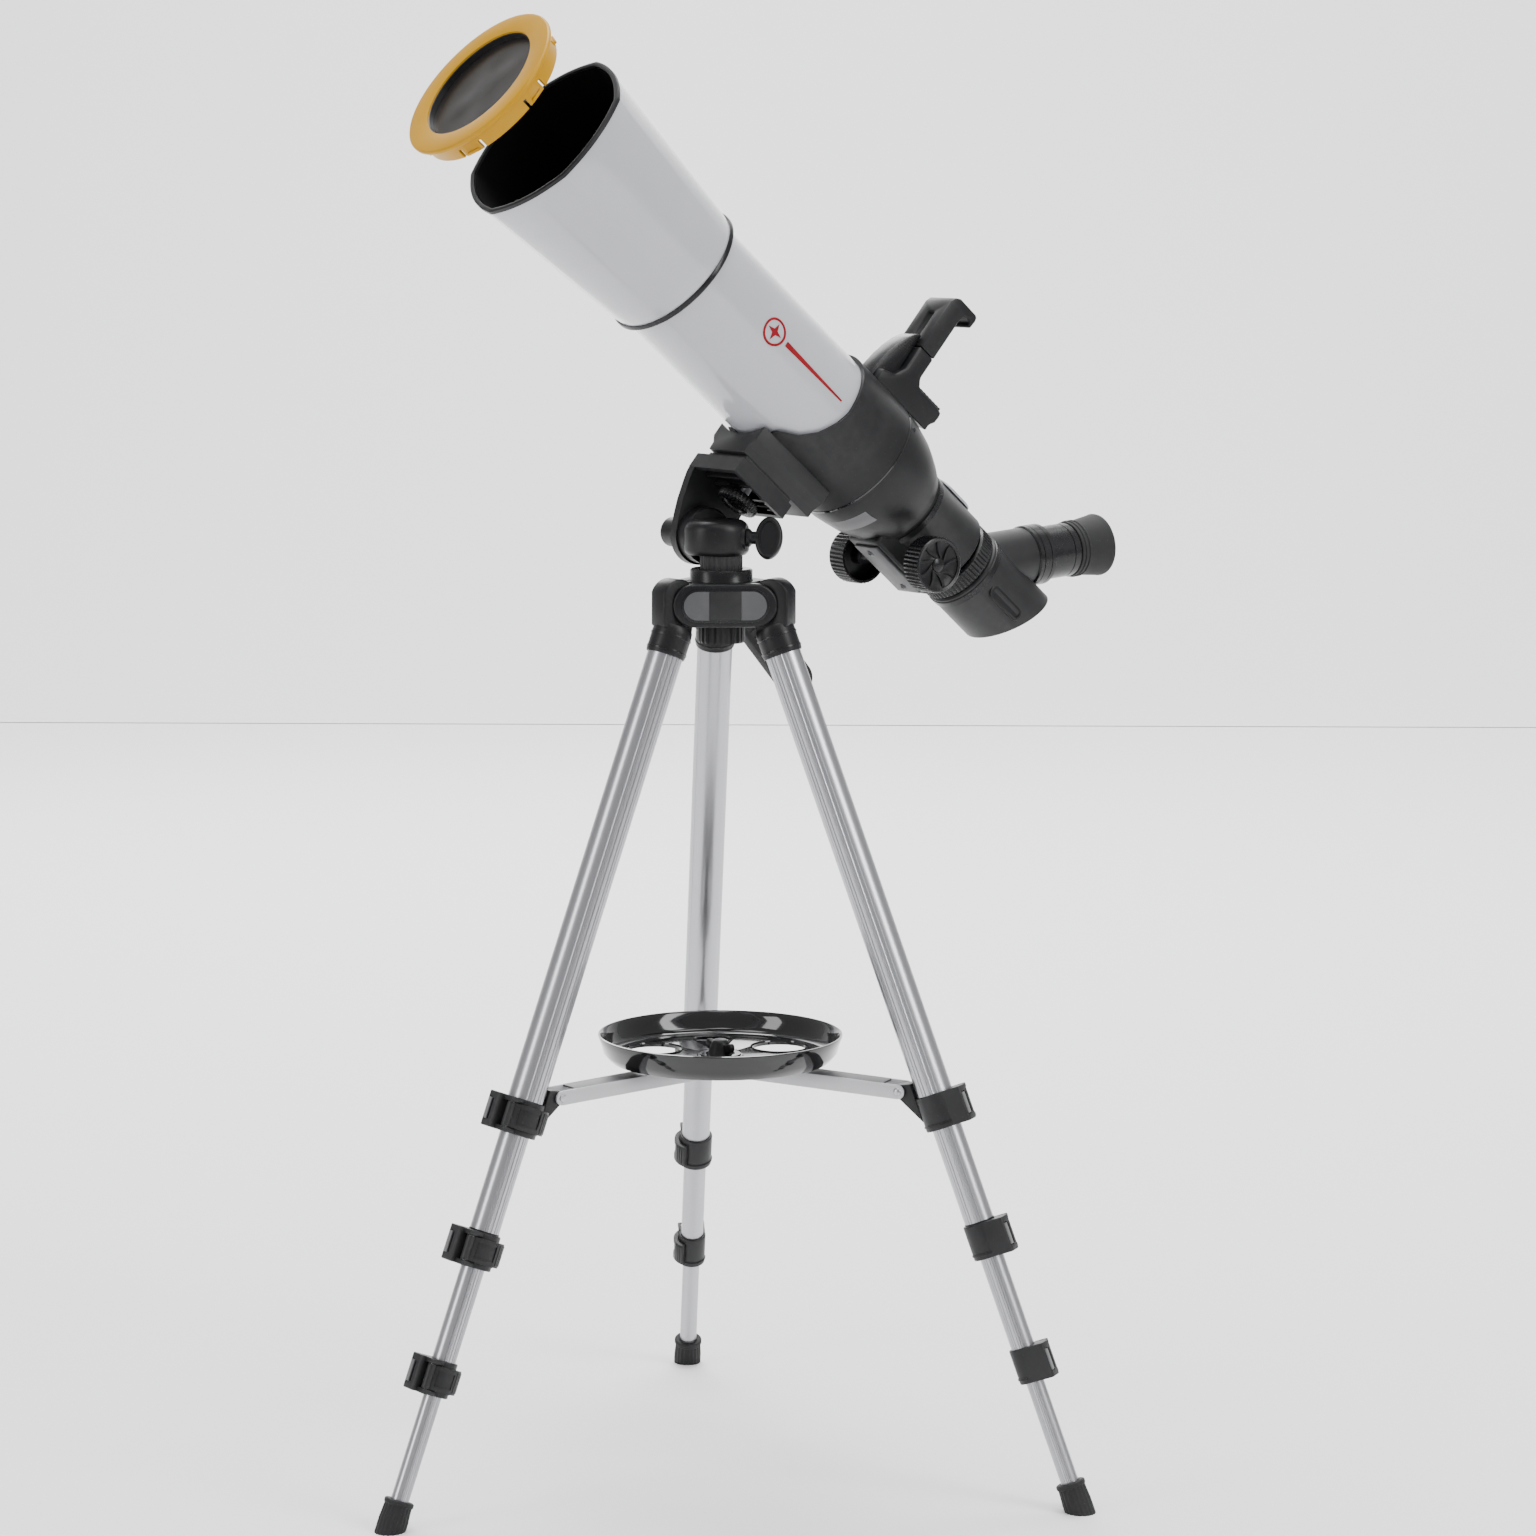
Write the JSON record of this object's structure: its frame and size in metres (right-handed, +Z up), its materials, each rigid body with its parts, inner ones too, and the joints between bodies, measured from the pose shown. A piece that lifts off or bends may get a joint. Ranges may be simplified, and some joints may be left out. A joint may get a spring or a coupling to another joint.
{
  "type": "telescope on tripod",
  "caption": "Small refracting telescope with a flared dew hood, star diagonal and phone clamp on a folding tripod with an accessory tray; a yellow solar cap hangs drawn off the hood.",
  "frame": {"origin": "on the floor under the middle of the whole object's box", "axes": "+Z up, the telescope points towards -Y and upwards, +X is the side of the pan knob, one tripod leg points towards -Y"},
  "size_m": [0.4224, 0.5334, 0.868],
  "materials": {
    "white_paint": "semi-gloss enamel",
    "black_plastic": "fine satin moulding",
    "grey_plastic": "satin moulding",
    "gloss_black": "high gloss",
    "anodised_tube": "satin anodised",
    "spreader_sheet": "satin pressed sheet",
    "rubber": "matt",
    "yellow_plastic": "semi-gloss",
    "coated_glass": "coated"
  },
  "bodies": {
    "stand": {"crown": "black_plastic", "center_post": "anodised_tube"},
    "leg_front": {"leg_socket_front": "black_plastic", "upper_tube_front": "anodised_tube", "clamp_1_front": "black_plastic"},
    "lever_1_front": {"lever_1_front": "grey_plastic"},
    "middle_front": {"middle_tube_front": "anodised_tube", "clamp_2_front": "black_plastic"},
    "lever_2_front": {"lever_2_front": "grey_plastic"},
    "lower_front": {"lower_tube_front": "anodised_tube", "clamp_3_front": "black_plastic"},
    "lever_3_front": {"lever_3_front": "grey_plastic"},
    "end_front": {"end_tube_front": "anodised_tube", "foot_front": "rubber"},
    "leg_right": {"leg_socket_right": "black_plastic", "upper_tube_right": "anodised_tube", "clamp_1_right": "black_plastic"},
    "lever_1_right": {"lever_1_right": "grey_plastic"},
    "middle_right": {"middle_tube_right": "anodised_tube", "clamp_2_right": "black_plastic"},
    "lever_2_right": {"lever_2_right": "grey_plastic"},
    "lower_right": {"lower_tube_right": "anodised_tube", "clamp_3_right": "black_plastic"},
    "lever_3_right": {"lever_3_right": "grey_plastic"},
    "end_right": {"end_tube_right": "anodised_tube", "foot_right": "rubber"},
    "leg_left": {"leg_socket_left": "black_plastic", "upper_tube_left": "anodised_tube", "clamp_1_left": "black_plastic"},
    "lever_1_left": {"lever_1_left": "grey_plastic"},
    "middle_left": {"middle_tube_left": "anodised_tube", "clamp_2_left": "black_plastic"},
    "lever_2_left": {"lever_2_left": "grey_plastic"},
    "lower_left": {"lower_tube_left": "anodised_tube", "clamp_3_left": "black_plastic"},
    "lever_3_left": {"lever_3_left": "grey_plastic"},
    "end_left": {"end_tube_left": "anodised_tube", "foot_left": "rubber"},
    "hub": {"tray": "gloss_black"},
    "tray_knob": {"tray_knob": "black_plastic"},
    "arm_front": {"spreader_arm_front": "spreader_sheet"},
    "arm_right": {"spreader_arm_right": "spreader_sheet"},
    "arm_left": {"spreader_arm_left": "spreader_sheet"},
    "pan": {"pan_base": "black_plastic"},
    "pan_knob": {"pan_knob": "black_plastic"},
    "telescope": {"tilt_bracket": "black_plastic", "optical_tube": "white_paint", "objective_lens": "coated_glass", "hood": "white_paint", "rear_housing": "black_plastic", "phone_holder": "black_plastic"},
    "handle": {"handle": "black_plastic"},
    "camera_screw": {"camera_screw": "black_plastic"},
    "phone_jaw": {"phone_jaw": "black_plastic"},
    "solar_cap": {"solar_cap": "yellow_plastic"},
    "focuser": {"draw_tube": "black_plastic"},
    "focus_shaft": {"focus_shaft": "black_plastic"},
    "diagonal": {"diagonal": "grey_plastic"},
    "eyepiece": {"eyepiece": "black_plastic", "eyecup": "rubber"}
  },
  "joints": [
    {"name": "leg_front_fold", "type": "hinge", "parent": "stand", "child": "leg_front", "pos_m": [0, -0.05854, 0.53042], "axis": [1, 0, 0], "range_deg": [0, 5]},
    {"name": "middle_front_slide", "type": "slide", "parent": "leg_front", "child": "middle_front", "axis": [0, -0.3616, -0.9323], "range_m": [-0.058, 0.165]},
    {"name": "lower_front_slide", "type": "slide", "parent": "middle_front", "child": "lower_front", "axis": [0, -0.3616, -0.9323], "range_m": [-0.0547, 0.185]},
    {"name": "end_front_slide", "type": "slide", "parent": "lower_front", "child": "end_front", "axis": [0, -0.3616, -0.9323], "range_m": [-0.0615, 0.2]},
    {"name": "lever_1_front_turn", "type": "hinge", "parent": "leg_front", "child": "lever_1_front", "pos_m": [0.00709, -0.17936, 0.23781], "axis": [0, -0.3616, -0.9323], "range_deg": [0, 100]},
    {"name": "lever_2_front_turn", "type": "hinge", "parent": "middle_front", "child": "lever_2_front", "pos_m": [0.00624, -0.20699, 0.16218], "axis": [0, -0.3616, -0.9323], "range_deg": [0, 100]},
    {"name": "lever_3_front_turn", "type": "hinge", "parent": "lower_front", "child": "lever_3_front", "pos_m": [0.00545, -0.23351, 0.08966], "axis": [0, -0.3616, -0.9323], "range_deg": [0, 100]},
    {"name": "leg_right_fold", "type": "hinge", "parent": "stand", "child": "leg_right", "pos_m": [0.02988, -0.00679, 0.53042], "axis": [-0.5, 0.866, 0], "range_deg": [0, 5]},
    {"name": "middle_right_slide", "type": "slide", "parent": "leg_right", "child": "middle_right", "axis": [0.3132, 0.1808, -0.9323], "range_m": [-0.058, 0.165]},
    {"name": "lower_right_slide", "type": "slide", "parent": "middle_right", "child": "lower_right", "axis": [0.3132, 0.1808, -0.9323], "range_m": [-0.0547, 0.185]},
    {"name": "end_right_slide", "type": "slide", "parent": "lower_right", "child": "end_right", "axis": [0.3132, 0.1808, -0.9323], "range_m": [-0.0615, 0.2]},
    {"name": "lever_1_right_turn", "type": "hinge", "parent": "leg_right", "child": "lever_1_right", "pos_m": [0.13097, 0.05976, 0.23781], "axis": [0.3132, 0.1808, -0.9323], "range_deg": [0, 100]},
    {"name": "lever_2_right_turn", "type": "hinge", "parent": "middle_right", "child": "lever_2_right", "pos_m": [0.15532, 0.07285, 0.16218], "axis": [0.3132, 0.1808, -0.9323], "range_deg": [0, 100]},
    {"name": "lever_3_right_turn", "type": "hinge", "parent": "lower_right", "child": "lever_3_right", "pos_m": [0.17869, 0.08542, 0.08966], "axis": [0.3132, 0.1808, -0.9323], "range_deg": [0, 100]},
    {"name": "leg_left_fold", "type": "hinge", "parent": "stand", "child": "leg_left", "pos_m": [-0.02988, -0.00679, 0.53042], "axis": [-0.5, -0.866, 0], "range_deg": [0, 5]},
    {"name": "middle_left_slide", "type": "slide", "parent": "leg_left", "child": "middle_left", "axis": [-0.3132, 0.1808, -0.9323], "range_m": [-0.058, 0.165]},
    {"name": "lower_left_slide", "type": "slide", "parent": "middle_left", "child": "lower_left", "axis": [-0.3132, 0.1808, -0.9323], "range_m": [-0.0547, 0.185]},
    {"name": "end_left_slide", "type": "slide", "parent": "lower_left", "child": "end_left", "axis": [-0.3132, 0.1808, -0.9323], "range_m": [-0.0615, 0.2]},
    {"name": "lever_1_left_turn", "type": "hinge", "parent": "leg_left", "child": "lever_1_left", "pos_m": [-0.13806, 0.04749, 0.23781], "axis": [-0.3132, 0.1808, -0.9323], "range_deg": [0, 100]},
    {"name": "lever_2_left_turn", "type": "hinge", "parent": "middle_left", "child": "lever_2_left", "pos_m": [-0.16156, 0.06203, 0.16218], "axis": [-0.3132, 0.1808, -0.9323], "range_deg": [0, 100]},
    {"name": "lever_3_left_turn", "type": "hinge", "parent": "lower_left", "child": "lever_3_left", "pos_m": [-0.18413, 0.07598, 0.08966], "axis": [-0.3132, 0.1808, -0.9323], "range_deg": [0, 100]},
    {"name": "hub_slide", "type": "slide", "parent": "stand", "child": "hub", "axis": [0, 0, 1], "range_m": [0, 0.057]},
    {"name": "tray_knob_turn", "type": "hinge", "parent": "hub", "child": "tray_knob", "pos_m": [0, -0.02404, 0.25403], "axis": [0, 0, 1], "continuous": true},
    {"name": "arm_front_turn", "type": "hinge", "parent": "hub", "child": "arm_front", "pos_m": [0, -0.04304, 0.24613], "axis": [1, 0, 0], "range_deg": [0, 40.4]},
    {"name": "arm_right_turn", "type": "hinge", "parent": "hub", "child": "arm_right", "pos_m": [0.01645, -0.01454, 0.24613], "axis": [-0.5, 0.866, 0], "range_deg": [0, 40.4]},
    {"name": "arm_left_turn", "type": "hinge", "parent": "hub", "child": "arm_left", "pos_m": [-0.01645, -0.01454, 0.24613], "axis": [-0.5, -0.866, 0], "range_deg": [0, 40.4]},
    {"name": "pan_turn", "type": "hinge", "parent": "stand", "child": "pan", "pos_m": [0, -0.02404, 0.55482], "axis": [0, 0, 1], "continuous": true},
    {"name": "pan_knob_turn", "type": "hinge", "parent": "pan", "child": "pan_knob", "pos_m": [0, -0.02404, 0.56512], "axis": [0.7193, 0.6947, 0], "continuous": true},
    {"name": "tilt_turn", "type": "hinge", "parent": "pan", "child": "telescope", "pos_m": [0, -0.02404, 0.56512], "axis": [-1, 0, 0], "range_deg": [-40, 9]},
    {"name": "handle_twist", "type": "hinge", "parent": "telescope", "child": "handle", "pos_m": [-0.046, -0.02105, 0.56862], "axis": [0, 0.6561, -0.7547], "continuous": true},
    {"name": "camera_screw_turn", "type": "hinge", "parent": "telescope", "child": "camera_screw", "pos_m": [0, -0.01279, 0.58445], "axis": [0, 0.6494, 0.7604], "continuous": true},
    {"name": "phone_jaw_slide", "type": "slide", "parent": "telescope", "child": "phone_jaw", "axis": [0, 0.6494, 0.7604], "range_m": [0, 0.03], "stiffness_N_per_m": 150, "springref_m": -0.02},
    {"name": "solar_cap_slide", "type": "slide", "parent": "telescope", "child": "solar_cap", "axis": [0, 0.8277, -0.5611], "range_m": [0, 0.0496]},
    {"name": "focus_slide", "type": "slide", "parent": "telescope", "child": "focuser", "axis": [0, 0.7604, -0.6494], "range_m": [0, 0.045]},
    {"name": "focus_turn", "type": "hinge", "parent": "telescope", "child": "focus_shaft", "pos_m": [0, 0.10518, 0.5455], "axis": [-1, 0, 0], "range_deg": [0, 727]},
    {"name": "diagonal_turn", "type": "hinge", "parent": "focuser", "child": "diagonal", "pos_m": [0, 0.16062, 0.53497], "axis": [0, 0.7604, -0.6494], "range_deg": [-90, 90]},
    {"name": "eyepiece_slide", "type": "slide", "parent": "diagonal", "child": "eyepiece", "axis": [0, 0.9969, 0.0785], "range_m": [0, 0.02]}
  ],
  "couplings": [
    {"joint": "leg_right_fold", "follows": "leg_front_fold", "ratio": 1},
    {"joint": "leg_left_fold", "follows": "leg_front_fold", "ratio": 1},
    {"joint": "hub_slide", "follows": "leg_front_fold", "m_per_rad": 0.64882},
    {"joint": "arm_front_turn", "follows": "leg_front_fold", "ratio": 7.9775},
    {"joint": "arm_right_turn", "follows": "leg_front_fold", "ratio": 7.9775},
    {"joint": "arm_left_turn", "follows": "leg_front_fold", "ratio": 7.9775},
    {"joint": "focus_turn", "follows": "focus_slide", "rad_per_m": 281.69}
  ]
}
